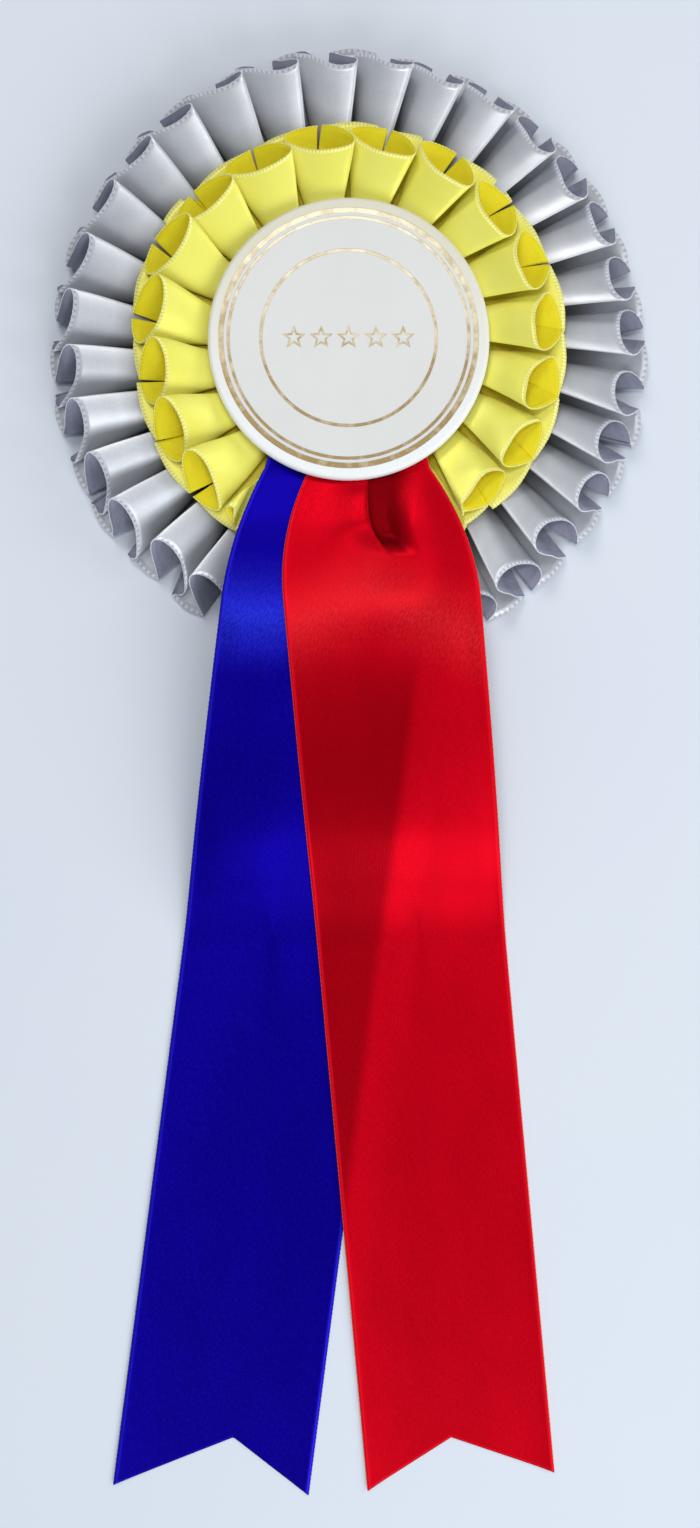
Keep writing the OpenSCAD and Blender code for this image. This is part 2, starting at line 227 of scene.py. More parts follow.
def satin(name, colour, deep, edge, width, shaded, lustre=0.3, tint=(1, 1, 1), root=None, dash=None,
          crest_highlight=None):
    """The shiny side of a woven ribbon. colour and deep mix in a cloud, and edge is its selvedge's.
    root is painted shade towards the gathering thread: where it starts and ends, and its colour.
    dash is the selvedge's stitches: their pitch and two colours.
    crest is a painted highlight where the ribbon bends over and its floats catch the light: its distance
    along, the place across where it peaks, its slope to the sides, its strength and its colour.
    shaded is the colour of the painted shade, where the mesh's shade attribute is 1."""
    n = Nodes(name)
    uv, along, across = n.ribbon_uv()
    from_edge = n.math("MINIMUM", across, n.math("SUBTRACT", width * MM, across))
    # floats of the satin: short slanted streaks, and lengthwise ribs
    slant = n.turned(uv, FLOAT_SLANT)
    streaks = n.noise(n.stretched(slant, 950, 2700), 1, 2, 0.55)
    ribs = n.wave(across, RIB_PITCH)
    threads = n.wave(along, WEFT_PITCH)
    cloud = n.noise(n.stretched(uv, 60, 110), 1, 3, 0.6)
    tone = n.mix(n.ramp(cloud, 0.3, 0.7), rgb(*colour), rgb(*deep))
    tone = n.mix(n.ramp(streaks, 0.45, 0.75, 0.0, 0.15), tone, rgb(*edge))
    # painted highlight: a lustre band where the ribbon bends over, with painted sparkle from its floats
    if crest_highlight is not None:
        start, middle, slope, strength, glint = crest_highlight
        off = n.math("MULTIPLY", n.math("ABSOLUTE", n.math("SUBTRACT", across, middle * MM)), slope)
        off = n.math("ABSOLUTE", n.math("SUBTRACT", n.math("SUBTRACT", along, start * MM), off))
        bright = n.math("POWER", n.ramp(off, 1 * MM, 14 * MM, 1.0, 0.0), 1.6)
        sparkle = n.ramp(n.math("ADD", streaks, n.math("MULTIPLY", ribs, 0.07)), 0.38, 0.66, 0.3, 1.0)
        bright = n.math("MULTIPLY", n.math("MULTIPLY", bright, sparkle), strength)
        tone = n.mix(bright, tone, rgb(*glint))
    tone = n.mix(n.ramp(ribs, -1, 1, 0.0, 0.3), tone, rgb(*deep))
    # painted shade towards the gathering thread, next to the tier or disc above it
    if root is not None:
        start, end, shadow = root
        tone = n.mix(n.ramp(across, start * MM, end * MM, 0.85, 0.0), tone, rgb(*shadow))
    # painted shade, as much as the mesh's shade attribute
    tone = n.mix(n.shade(), tone, rgb(*shaded))
    # selvedge: a tight band, with stitches across it
    band = n.ramp(from_edge, 0.35 * MM, 0.9 * MM, 1.0, 0.0)
    tone = n.mix(n.math("MULTIPLY", band, 0.75), tone, rgb(*edge))
    if dash is not None:
        pitch, colour_a, colour_b = dash
        beat = n.wave(along, pitch)
        near = n.ramp(from_edge, 0.6 * MM, 0.9 * MM, 0.6, 0.0)
        tone = n.mix(n.math("MULTIPLY", n.ramp(beat, 0.1, 0.4), near), tone, rgb(*colour_a))
        tone = n.mix(n.math("MULTIPLY", n.ramp(beat, -0.4, -0.8), near), tone, rgb(*colour_b))
    height = n.math("ADD", n.math("MULTIPLY", streaks, 0.6), n.math("MULTIPLY", ribs, 0.10))
    height = n.math("ADD", height, n.math("MULTIPLY", threads, 0.06))
    height = n.math("ADD", height, n.math("MULTIPLY", band, 0.5))
    roughness = n.ramp(streaks, 0.2, 0.8, 0.28, 0.46)
    return n.finish(tone, roughness, lustre, n.bump(height, 0.045 * MM, 0.6), Anisotropic=0.4,
                    Specular_IOR_Level=0.15, Specular_Tint=rgb(*tint))


def reverse(name, colour, deep, shaded=None):
    """The duller wrong side of the ribbon, with a fine crosswise rib."""
    n = Nodes(name)
    uv, along, _ = n.ribbon_uv()
    ribs = n.wave(along, REVERSE_PITCH)
    cloud = n.noise(n.stretched(uv, 200, 500), 1, 3, 0.6)
    tone = n.mix(n.ramp(cloud, 0.3, 0.7), rgb(*colour), rgb(*deep))
    tone = n.mix(n.ramp(ribs, -1, 1, 0.0, 0.25), tone, rgb(*deep))
    # painted shade in the deep folds, by the mesh's shade attribute
    if shaded is not None:
        tone = n.mix(n.shade(), tone, rgb(*shaded))
    return n.finish(tone, n.ramp(cloud, 0.2, 0.8, 0.55, 0.7), normal=n.bump(ribs, 0.02 * MM, 0.5),
                    Specular_IOR_Level=0.1)


def thread(name, colour, deep):
    n = Nodes(name)
    twist = n.wave(n.ribbon_uv()[1], TWIST_PITCH)
    tone = n.mix(n.ramp(twist, -1, 1), rgb(*colour), rgb(*deep))
    return n.finish(tone, n.ramp(twist, -1, 1, 0.5, 0.62), normal=n.bump(twist, 0.03 * MM, 0.5),
                    Specular_IOR_Level=0.25)


def paper(name, colour, deep, rough, fleck=None, grain=1.0):
    n = Nodes(name)
    place = n.add("TexCoord").outputs["Object"]
    fibre = n.noise(place, 2600, 4, 0.7)
    cloud = n.noise(place, 60, 3, 0.55)
    tone = n.mix(n.ramp(cloud, 0.3, 0.7), rgb(*colour), rgb(*deep))
    tone = n.mix(n.ramp(fibre, 0.4, 0.8, 0.0, 0.2), tone, rgb(*deep))
    if fleck is not None:
        specks = n.noise(place, 900, 1, 0.5)
        tone = n.mix(n.ramp(specks, 0.68, 0.76, 0.0, 0.7), tone, rgb(*fleck))
    return n.finish(tone, n.ramp(fibre, 0.2, 0.8, rough - 0.06, rough + 0.08),
                    normal=n.bump(fibre, 0.02 * MM * grain, 0.4), Specular_IOR_Level=0.4)


def foil(name):
    """Hot-pressed foil with a painted reflection: paler towards the top of the disc and browner towards the
    bottom, with random patches.
    """
    n = Nodes(name)
    place, _, y = n.object_place()
    patch = n.noise(place, 420, 3, 0.6)
    fine = n.noise(place, 3000, 2, 0.6)
    # painted reflection: the foil is paler at the top and browner at the bottom, varied by random patches
    low = n.ramp(y, -20 * MM, 26 * MM, 0.95, 0.05)
    darker = n.math("ADD", low, n.ramp(patch, 0.35, 0.65, -0.25, 0.35), clamp=True)
    tone = n.mix(darker, rgb(0.93, 0.86, 0.64), rgb(0.36, 0.25, 0.11))
    return n.finish(tone, n.ramp(patch, 0.3, 0.7, 0.62, 0.5), 0.6, normal=n.bump(fine, 0.03 * MM, 0.5))


def cover_paper(name):
    """The disc's paper, with painted light and shade along its margin: whiter along the lower side and
    creamier along the upper.
    """
    n = Nodes(name)
    place, x, y = n.object_place()
    fibre = n.noise(place, 2600, 4, 0.7)
    cloud = n.noise(place, 60, 3, 0.55)
    reach = n.math("SQRT", n.math("ADD", n.math("MULTIPLY", x, x), n.math("MULTIPLY", y, y)))
    margin = n.ramp(reach, 25.6 * MM, 26.6 * MM)
    tone = n.mix(n.ramp(cloud, 0.3, 0.7), rgb(0.78, 0.785, 0.765), rgb(0.75, 0.755, 0.73))
    # painted light and shade on the margin: whiter at the bottom, darker and creamier at the top
    side = n.mix(n.ramp(y, -20 * MM, 20 * MM), rgb(0.93, 0.95, 0.95), rgb(0.76, 0.73, 0.58))
    tone = n.mix(margin, tone, side)
    tone = n.mix(n.ramp(fibre, 0.4, 0.8, 0.0, 0.25), tone, rgb(0.70, 0.70, 0.68))
    return n.finish(tone, n.ramp(fibre, 0.2, 0.8, 0.46, 0.6), normal=n.bump(fibre, 0.02 * MM, 0.4),
                    Specular_IOR_Level=0.35)


def metal(name, colour, rough, darker):
    n = Nodes(name)
    place = n.add("TexCoord").outputs["Object"]
    brushed = n.noise(n.stretched(place, 300, 3500, 3500), 1, 2, 0.6)
    cloud = n.noise(place, 260, 3, 0.6)
    tone = n.mix(n.ramp(cloud, 0.4, 0.7), rgb(*colour), rgb(*darker))
    return n.finish(tone, n.ramp(cloud, 0.3, 0.7, rough - 0.06, rough + 0.1), 1.0,
                    normal=n.bump(brushed, 0.006 * MM, 0.5))


def foam_material(name, colour, deep):
    n = Nodes(name)
    place = n.add("TexCoord").outputs["Object"]
    cells = n.add("TexVoronoi")
    n.fill(cells, {"Vector": place, "Scale": 1800.0})
    value = cells.outputs["Distance"]
    tone = n.mix(n.ramp(value, 0.0, 0.6), rgb(*deep), rgb(*colour))
    return n.finish(tone, n.ramp(value, 0, 1, 0.8, 0.95), normal=n.bump(value, 0.1 * MM, 0.6))


def floor_material():
    n = Nodes("table_top")
    place = n.add("TexCoord").outputs["Object"]
    cloud = n.noise(place, 9, 3, 0.5)
    tone = n.mix(n.ramp(cloud, 0.3, 0.7), rgb(0.72, 0.77, 0.85), rgb(0.74, 0.79, 0.85))
    grain = n.noise(place, 700, 3, 0.6)
    return n.finish(tone, 0.75, normal=n.bump(grain, 0.02 * MM, 0.3), Specular_IOR_Level=0.25)


def make_floor():
    place = (0, FLOOR_MIDDLE_Y * MM, (TABLE - FLOOR_GAP) * MM)
    bpy.ops.mesh.primitive_plane_add(size=FLOOR_SIZE * MM, location=place)
    floor = bpy.context.object
    floor.name = "table_top"
    floor.data.materials.append(floor_material())


# ---------------------------------------------------------------- shape helpers
def clamp01(t):
    return np.clip(t, 0, 1)


def smooth(t):
    t = clamp01(t)
    return t * t * (3 - 2 * t)


def mix(a, b, t):
    return a + (b - a) * t


def rounded(points, steps):
    """A smooth curve through points (Catmull-Rom), with the same number of steps in each span."""
    p = np.vstack([2 * points[0] - points[1], points, 2 * points[-1] - points[-2]])
    t = np.arange(steps)[:, None] / steps
    out = []
    for i in range(1, len(p) - 2):
        a, b, c, d = p[i - 1], p[i], p[i + 1], p[i + 2]
        out.append(0.5 * (2 * b + (c - a) * t + (2 * a - 5 * b + 4 * c - d) * t**2
                          + (3 * b - a - 3 * c + d) * t**3))
    return np.vstack(out + [points[-1:]])


def curve_at(knots, x):
    """Smooth height at x through (place, height) knots in rising order of place."""
    k = np.array(knots, float)
    xs, ys = k[:, 0], k[:, 1]
    slope = np.gradient(ys, xs)
    i = np.clip(np.searchsorted(xs, x) - 1, 0, len(xs) - 2)
    h = xs[i + 1] - xs[i]
    t = clamp01((x - xs[i]) / h)
    return ((2 * t**3 - 3 * t**2 + 1) * ys[i] + (t**3 - 2 * t**2 + t) * h * slope[i]
            + (3 * t**2 - 2 * t**3) * ys[i + 1] + (t**3 - t**2) * h * slope[i + 1])


def grid_normals(p, closed):
    """Unit normals of a grid of points; closed grids join the last column to the first."""
    if closed:
        du = np.roll(p, -1, 1) - np.roll(p, 1, 1)
    else:
        du = np.gradient(p, axis=1)
    dv = np.gradient(p, axis=0)
    n = np.cross(du, dv)
    return n / np.maximum(np.linalg.norm(n, axis=2, keepdims=True), 1e-9)


def selvedge_thickness(cloth, from_edge):
    """The cloth's thickness, which grows a little in the selvedge."""
    return cloth + 0.08 * (1 - smooth((from_edge - 0.3) / 0.5))


def sheet_mesh(name, mid, uv, thickness, closed, materials):
    """A closed thin mesh round the grid mid (rows, columns, 3), in millimetres. thickness is a grid.
    Its upper skin takes material 0 and its lower skin material 1."""
    rows, cols = mid.shape[:2]
    normal = grid_normals(mid, closed)
    if normal[..., 2].mean() < 0:
        normal = -normal
    half = thickness[..., None] / 2
    points = np.concatenate([(mid + normal * half).reshape(-1, 3), (mid - normal * half).reshape(-1, 3)])
    skin = rows * cols
    index = np.arange(skin).reshape(rows, cols)
    a = index if closed else index[:, :-1]
    b = np.roll(index, -1, 1) if closed else index[:, 1:]
    quads = np.stack([a[:-1], b[:-1], b[1:], a[1:]], -1).reshape(-1, 4)
    first, last = (a[0], b[0]), (a[-1], b[-1])
    rims = [np.stack([first[1], first[0], first[0] + skin, first[1] + skin], -1),
            np.stack([last[0], last[1], last[1] + skin, last[0] + skin], -1)]
    if not closed:
        left, right = index[:, 0], index[:, -1]
        rims += [np.stack([left[:-1], left[1:], left[1:] + skin, left[:-1] + skin], -1),
                 np.stack([right[1:], right[:-1], right[:-1] + skin, right[1:] + skin], -1)]
    faces = np.concatenate([quads, quads[:, ::-1] + skin, *rims])
    slots = np.concatenate([np.zeros(len(quads)), np.ones(len(quads)), np.zeros(sum(len(r) for r in rims))])
    coords = np.concatenate([uv.reshape(-1, 2)] * 2)
    return build(name, points, faces, slots, coords, materials)


def build(name, points, faces, slots, uv, materials):
    """A mesh object from millimetre points, four-cornered faces, material slots and one uv per point."""
    mesh = bpy.data.meshes.new(name)
    mesh.vertices.add(len(points))
    mesh.vertices.foreach_set("co", (points * MM).astype(np.float32).ravel())
    mesh.loops.add(faces.size)
    mesh.loops.foreach_set("vertex_index", faces.astype(np.int32).ravel())
    mesh.polygons.add(len(faces))
    mesh.polygons.foreach_set("loop_start", (np.arange(len(faces)) * faces.shape[1]).astype(np.int32))
    mesh.polygons.foreach_set("material_index", slots.astype(np.int32))
    mesh.polygons.foreach_set("use_smooth", np.full(len(faces), True))
    layer = mesh.uv_layers.new(name="ribbon")
    layer.data.foreach_set("uv", (uv[faces.ravel()] * MM).astype(np.float32).ravel())
    mesh.update(calc_edges=True)
    mesh.validate()
    for m in materials:
        mesh.materials.append(m)
    piece = bpy.data.objects.new(name, mesh)
    scene.collection.objects.link(piece)
    return piece


def tube(path, radius, closed):
    """Points, faces and uv of a six-sided tube round path (n, 3), with a radius at each point."""
    sides = 6
    d = (np.roll(path, -1, 0) - np.roll(path, 1, 0)) if closed else np.gradient(path, axis=0)
    d /= np.maximum(np.linalg.norm(d, axis=1, keepdims=True), 1e-9)
    side = np.cross(d, [0.0, 0.0, 1.0])
    side /= np.maximum(np.linalg.norm(side, axis=1, keepdims=True), 1e-6)
    up = np.cross(side, d)
    turn = np.arange(sides) * 2 * math.pi / sides
    ring = side[:, None] * np.cos(turn)[None, :, None] + up[:, None] * np.sin(turn)[None, :, None]
    points = (path[:, None] + ring * radius[:, None, None]).reshape(-1, 3)
    n = len(path)
    index = np.arange(n * sides).reshape(n, sides)
    nxt = np.roll(index, -1, 0) if closed else index[1:]
    a = index if closed else index[:-1]
    faces = np.stack([a, np.roll(a, -1, 1), np.roll(nxt, -1, 1), nxt], -1).reshape(-1, 4)
    length = np.concatenate([[0], np.cumsum(np.linalg.norm(np.diff(path, axis=0), axis=1))])
    uv = np.stack([np.repeat(length, sides), np.tile(turn, n)], -1)
    if not closed:
        faces = np.concatenate([faces, [index[0][[0, 1, 2, 5]], index[0][[2, 3, 4, 5]],
                                        index[-1][[5, 2, 1, 0]], index[-1][[5, 4, 3, 2]]]])
    return points, faces, uv


def picots(path, pitch, closed, thin, thick):
    """A selvedge thread with little loops at even steps along path."""
    step = np.linalg.norm(np.diff(np.vstack([path, path[:1]]) if closed else path, axis=0), axis=1)
    length = np.concatenate([[0], np.cumsum(step)])
    total = length[-1]
    loops = max(4, round(total / pitch))
    places = np.arange(loops * 5 if closed else loops * 5 + 1) * total / (loops * 5)
    source = np.vstack([path, path[:1]]) if closed else path
    fine = np.stack([np.interp(places, length, source[:, i]) for i in range(3)], -1)
    wave = 0.5 - 0.5 * np.cos(np.arange(len(places)) * 2 * math.pi / 5)
    return tube(fine, mix(thin, thick, wave), closed)


def join_shell(piece, shells, slot):
    """Adds tubes (points, faces, uv in millimetres) to piece's mesh, with one material slot."""
    old = piece.data
    points = np.empty(len(old.vertices) * 3, np.float32)
    old.vertices.foreach_get("co", points)
    points = points.reshape(-1, 3) / MM
    corners = np.empty(len(old.loops), np.int32)
    old.loops.foreach_get("vertex_index", corners)
    slots = np.empty(len(old.polygons), np.int32)
    old.polygons.foreach_get("material_index", slots)
    flat = np.empty(len(old.loops) * 2, np.float32)
    old.uv_layers["ribbon"].data.foreach_get("uv", flat)
    uv = np.zeros((len(points), 2))
    uv[corners] = flat.reshape(-1, 2) / MM
    faces = corners.reshape(-1, 4)
    name, materials = piece.name, list(old.materials)
    bpy.data.objects.remove(piece)
    bpy.data.meshes.remove(old)
    for p, f, t in shells:
        faces = np.vstack([faces, f + len(points)])
        slots = np.concatenate([slots, np.full(len(f), slot)])
        points, uv = np.vstack([points, p]), np.vstack([uv, t])
    return build(name, points, faces, slots, uv, materials)


def add_shade(piece, shade):
    """Gives both skins of a sheet the point attribute shade; threads joined to it keep nothing."""
    values = np.zeros(len(piece.data.vertices), np.float32)
    values[:2 * shade.size] = np.tile(shade.ravel(), 2)
    piece.data.attributes.new("shade", "FLOAT", "POINT").data.foreach_set("value", values)


# ---------------------------------------------------------------- tails
# angle is the tail's turn to the right from straight down, gather how much each side is drawn in at
# the hinge, and ends the swallowtail: shares of the width, from the left, and where the cloth ends
# there. columns counts the points across it.
TAIL_X = 2.0
TAIL_TOP_Y = -2.0
RED = {"width": 40.2, "angle": 5.24, "gather": 4.6, "columns": 97,
       "ends": [(0.0, -243.8), (0.47, -232.4), (1.0, -239.8)]}
BLUE = {"width": 41.8, "angle": -7.4, "gather": 3.0, "columns": 81,
        "ends": [(0.0, -242.5), (0.58, -232.4), (1.0, -244.9)]}
STRAIGHT_END_Y = -238.0
# Where the tails begin to be drawn in, and over what length
GATHER_TOP_Y = -53.6
GATHER_LENGTH = 21
TAIL_CLOTH = 0.22
TAIL_ROWS = 420
RED_OVER_BLUE = 0.45
LAYER_GAP = 0.42
# Height of both tails' middle along y: on the table, over the pleats, and in under the disc
ON_TABLE_Z = -4.03
TAIL_HEIGHT = [(-260, ON_TABLE_Z), (-150, ON_TABLE_Z), (-132, -4.02), (-123, -3.5), (-113, -0.6),
               (-101, 4.0), (-86, 7.6), (-72, 9.4), (-63, 10.35), (-55, 10.8), (-47, 10.6), (-38, 9.9),
               (-31, 8.7), (-27, 8.05), (-20, 8.0), (0, 8.0)]
# The red tail's fold: where it leaves the disc, its length down the tail and its drift to the right
FOLD_X = 4.0
FOLD_TOP_Y = -28.5
FOLD_LENGTH = 16.5
FOLD_DRIFT = 5.6


def tail_centre(tail, y):
    return TAIL_X - y * math.tan(math.radians(tail["angle"]))


def tail_half(tail, y):
    """Half the tail's width along x. It is drawn in towards the hinge and narrower still beyond it."""
    full = tail["width"] / 2 / math.cos(math.radians(tail["angle"]))
    near = np.clip((y - GATHER_TOP_Y) / GATHER_LENGTH, 0, 1.3)
    far = clamp01((y + 27) / 25)
    return (full - tail["gather"] * near**2) * (1 - 0.25 * far)


def tail_base(y):
    return np.maximum(curve_at(TAIL_HEIGHT, y), ON_TABLE_Z)


def lying(y):
    """1 where a tail lies on the table, 0 where it is still above it."""
    return smooth((-y - 96) / 30)


def hanging_out(y):
    """1 between the pleats' rim and the table, where a tail touches nothing."""
    return smooth((-y - 60) / 10) * (1 - lying(y))


def blue_right(y):
    return tail_centre(BLUE, y) + tail_half(BLUE, y)


def footprint(x, y):
    """Signed distance inside the two tails' common outline, in millimetres."""
    left = tail_centre(BLUE, y) - tail_half(BLUE, y)
    right = tail_centre(RED, y) + tail_half(RED, y)
    return np.minimum(np.minimum(x - left, right - x), -18 - y)


def tail_grid(tail):
    """Places x and y of a tail's grid, and each point's share of the width from the left."""
    c = np.linspace(0, 1, tail["columns"])[None, :]
    ends = np.array(tail["ends"])
    end = np.interp(c, ends[:, 0], ends[:, 1])
    s = np.linspace(0, 1, TAIL_ROWS)[:, None]
    y = mix(TAIL_TOP_Y, mix(STRAIGHT_END_Y, end, smooth((s - 0.86) / 0.14)), s)
    x = tail_centre(tail, y) + (2 * c - 1) * tail_half(tail, y)
    return x, y, np.broadcast_to(c, x.shape)


def swell(x, y, cx, cy, sx, sy, turn):
    """A round hill of height 1 at cx, cy, with two half-widths, turned by an angle."""
    a = math.radians(turn)
    u = (x - cx) * math.cos(a) + (y - cy) * math.sin(a)
    v = (y - cy) * math.cos(a) - (x - cx) * math.sin(a)
    return np.exp(-((u / sx) ** 2) - (v / sy) ** 2)


def fold_place(x, y):
    """How far along the fold a point is, from 0 at the disc to 1 at its tip, and how far right of it."""
    u = clamp01((FOLD_TOP_Y - y) / FOLD_LENGTH)
    return u, x - (FOLD_X + FOLD_DRIFT * u**4)


def red_height(x, y):
    """Height of the red tail's middle over the frame's origin, at a place that it covers."""
    c = clamp01(0.5 + (x - tail_centre(RED, y)) / 2 / tail_half(RED, y))
    z = tail_base(y) + RED_OVER_BLUE * smooth((blue_right(y) + 8 - x) / 9)
    out = smooth((-25 - y) / 8)
    # the fold: a ridge on its left, and a hollow on its right
    u, d = fold_place(x, y)
    fade = 1 - smooth((u - 0.55) / 0.45)
    ridge = np.exp(-((np.minimum(d, 0) / 6.0) ** 2)) * np.where(d < 0, 1, np.exp(-((d / 0.8) ** 2)))
    z = z + 1.2 * ridge * fade * out
    hollow = smooth((d + 0.4) / 0.9) * (1 - smooth((d - 3.0) / (8.5 * (1 - 0.5 * u))))
    z = mix(z, np.minimum(z, 8.62), hollow * (1 - smooth((u - 0.65) / 0.35)))
    # soft swells where the ribbon fans out from the fold
    z = z + 0.5 * swell(x, y, -2, -43, 7, 12, -20) * out + 0.5 * swell(x, y, 17, -42, 6, 12, 12) * out
    z = z + 0.35 * swell(x, y, 9, -55, 13, 6, 12)
    # its free edge droops beyond the rim, and both edges curl up a little on the table
    z = z - 0.5 * smooth((c - 0.85) / 0.15) ** 2 * (1 - lying(y)) * smooth((-50 - y) / 16)
    z = z + 0.12 * np.sin(y / 9 + 3 * c) * hanging_out(y)
    return z + 0.35 * (2 * c - 1) ** 8 * lying(y)


def red_points():
    """The red tail's middle and each point's share of the width."""
    x, y, c = tail_grid(RED)
    return np.stack([x, y, red_height(x, y)], -1), c


def blue_points():
    """The blue tail's middle and each point's share of the width."""
    x, y, c = tail_grid(BLUE)
    z = tail_base(y)
    z = z - 0.6 * smooth((0.2 - c) / 0.2) ** 2 * (1 - lying(y)) * smooth((-50 - y) / 16)
    z = z + 0.2 * np.sin(y / 10 + 1) * hanging_out(y) * smooth((0.5 - c) / 0.3)
    z = z + 0.35 * (1 - c) ** 10 * lying(y)
    # it stays under the red tail where that covers it
    covered = x > tail_centre(RED, y) - tail_half(RED, y) - 0.5
    z = np.where(covered, np.minimum(z, red_height(x, y) - LAYER_GAP), z)
    return np.stack([x, y, z], -1), c


def red_shade(mid):
    """Painted shade on the red satin: where the blue shows through beneath it, in the fold's hollow and
    beside it, and between the disc and the place where the ribbon bends over."""
    x, y = mid[..., 0], mid[..., 1]
    over_blue = smooth((blue_right(y) - x) / 3.0 + 0.5) * smooth((-56 - y) / 22)
    u, d = fold_place(x, y)
    hollow = smooth((d + 0.4) / 0.5) * (1 - smooth((d - 4.4 * (1 - 0.35 * u**2)) / (8.5 * (1 - 0.5 * u))))
    hollow = hollow * (1 - smooth((u - 0.8) / 0.2)) * smooth((-26 - y) / 2)
    crease = 0.25 * smooth((-d - 1.5) / 6) * smooth((y + 37 + d * 0.5) / 5)
    near_disc = 0.16 * smooth((y + 60) / 12)
    return np.maximum(np.maximum(0.52 * over_blue, 0.95 * hollow), np.maximum(crease, near_disc))


def blue_shade(mid):
    """Painted shade on the blue satin, deeper between the disc and the place where it bends over."""
    return 0.30 * smooth((mid[..., 1] + 60) / 10)


def make_tail(name, points, tail, materials, shade):
    """A tail's mesh from its middle (points and shares of the width) and a function for its painted shade.
    """
    mid, c = points
    rows, cols = mid.shape[:2]
    step = np.linalg.norm(np.diff(mid, axis=0), axis=2).mean(axis=1)
    along = np.concatenate([[0], np.cumsum(step)])
    uv = np.stack([np.broadcast_to(along[:, None], (rows, cols)), c * tail["width"]], -1)
    thick = selvedge_thickness(TAIL_CLOTH, np.minimum(c, 1 - c) * tail["width"])
    piece = sheet_mesh(name, mid, uv, thick, False, materials)
    loops = [picots(mid[:, i], 1.0, False, 0.11, 0.17) for i in (0, -1)]
    piece = join_shell(piece, loops, 2)
    add_shade(piece, shade(mid))
    return piece


# ---------------------------------------------------------------- pleats
# One box pleat's outer edge, from its left slit fold round the front to its right one.
# Every point is [place in pitches from the slit, share of the set-back of the front edge].
# The pleats have slumped by hand, so each tier has a shape for its top, right and left.
SILVER_EDGE = {
    "top": [[-0.16, 0.05], [-0.32, -0.02], [-0.47, 0.00], [-0.45, 0.13], [-0.32, 0.27], [-0.16, 0.50],
            [0.00, 0.78], [0.20, 0.97], [0.40, 1.00], [0.53, 0.95], [0.55, 0.80], [0.44, 0.60],
            [0.30, 0.36], [0.15, 0.08]],
    "right": [[-0.26, 0.04], [-0.41, 0.22], [-0.50, 0.50], [-0.44, 0.78], [-0.28, 0.93], [-0.10, 1.00],
              [0.10, 1.00], [0.28, 0.93], [0.42, 0.79], [0.49, 0.60], [0.42, 0.42], [0.28, 0.27],
              [0.18, 0.13], [0.11, 0.02]],
    "left": [[-0.18, 0.02], [-0.28, -0.02], [-0.34, 0.05], [-0.29, 0.22], [-0.19, 0.50], [-0.05, 0.78],
             [0.10, 0.93], [0.28, 1.00], [0.46, 0.97], [0.57, 0.82], [0.53, 0.62], [0.42, 0.42],
             [0.30, 0.25], [0.18, 0.08]],
}
YELLOW_EDGE = {
    "top": [[-0.04, 0.00], [-0.25, 0.01], [-0.44, 0.07], [-0.52, 0.23], [-0.47, 0.45], [-0.33, 0.72],
            [-0.14, 0.92], [0.06, 1.00], [0.28, 1.00], [0.45, 0.93], [0.51, 0.75], [0.44, 0.48],
            [0.28, 0.20], [0.09, 0.02]],
    "right": [[-0.02, 0.05], [-0.22, 0.10], [-0.42, 0.20], [-0.56, 0.34], [-0.50, 0.60], [-0.33, 0.88],
              [-0.13, 1.00], [0.06, 1.00], [0.22, 0.98], [0.34, 0.92], [0.39, 0.80], [0.34, 0.58],
              [0.19, 0.30], [0.02, 0.06]],
    "left": [[0.02, 0.00], [-0.14, 0.05], [-0.27, 0.15], [-0.33, 0.34], [-0.23, 0.62], [-0.05, 0.86],
             [0.12, 0.97], [0.33, 1.00], [0.50, 0.93], [0.62, 0.80], [0.68, 0.60], [0.60, 0.38],
             [0.40, 0.16], [0.18, 0.02]],
}
# For the same points: place under the disc, layer height in mm, share of the rise, painted shade in the
# deep folds, and how late towards the rim the point leaves its place under the disc
ROOT = [-0.03, -0.16, -0.28, -0.35, -0.34, -0.26, -0.12, 0.06, 0.22, 0.33, 0.38, 0.33, 0.18, 0.03]
LAYER = [0.42, 0.52, 0.62, 0.80, 1.00, 1.20, 1.40, 1.58, 1.72, 1.80, 1.70, 1.35, 0.95, 0.55]
RISE = [0.02, 0.08, 0.16, 0.30, 0.46, 0.66, 0.82, 0.93, 0.99, 1.00, 0.92, 0.66, 0.34, 0.06]
DEEP_FOLD_SHADE = [0.70, 0.90, 1.00, 1.00, 0.55, 0.10, 0.00, 0.00, 0.00, 0.00, 0.15, 0.80, 0.95, 0.75]
LATE = [1.00, 0.80, 0.40, 0.00, 0.00, 0.00, 0.00, 0.00, 0.00, 0.00, 0.00, 0.40, 0.80, 1.00]


def edge_shape(edges, angle):
    """The edge shape for a pleat at an angle in degrees, clockwise from the top."""
    s, c = math.sin(math.radians(angle)), math.cos(math.radians(angle))
    parts = {"top": max(c, 0), "right": max(s, 0) + 0.5 * max(-c, 0), "left": max(-s, 0) + 0.5 * max(-c, 0)}
    whole = sum(parts.values())
    return sum(np.array(edges[k]) * w / whole for k, w in parts.items())


# What both tiers share: rows of points from the gathering thread to the outer edge, steps from one
# point of the edge shape to the next, how the rows crowd towards the edge, the rim's waviness, how
# much of the painted fold shade is left at the rim, and the cloth's thickness
PLEAT_ROWS = 26
PLEAT_STEPS = 4
PLEAT_CROWDING = 0.9
PLEAT_RIPPLE = 0.3
RIM_DARKNESS = 0.22
CLOTH = 0.2
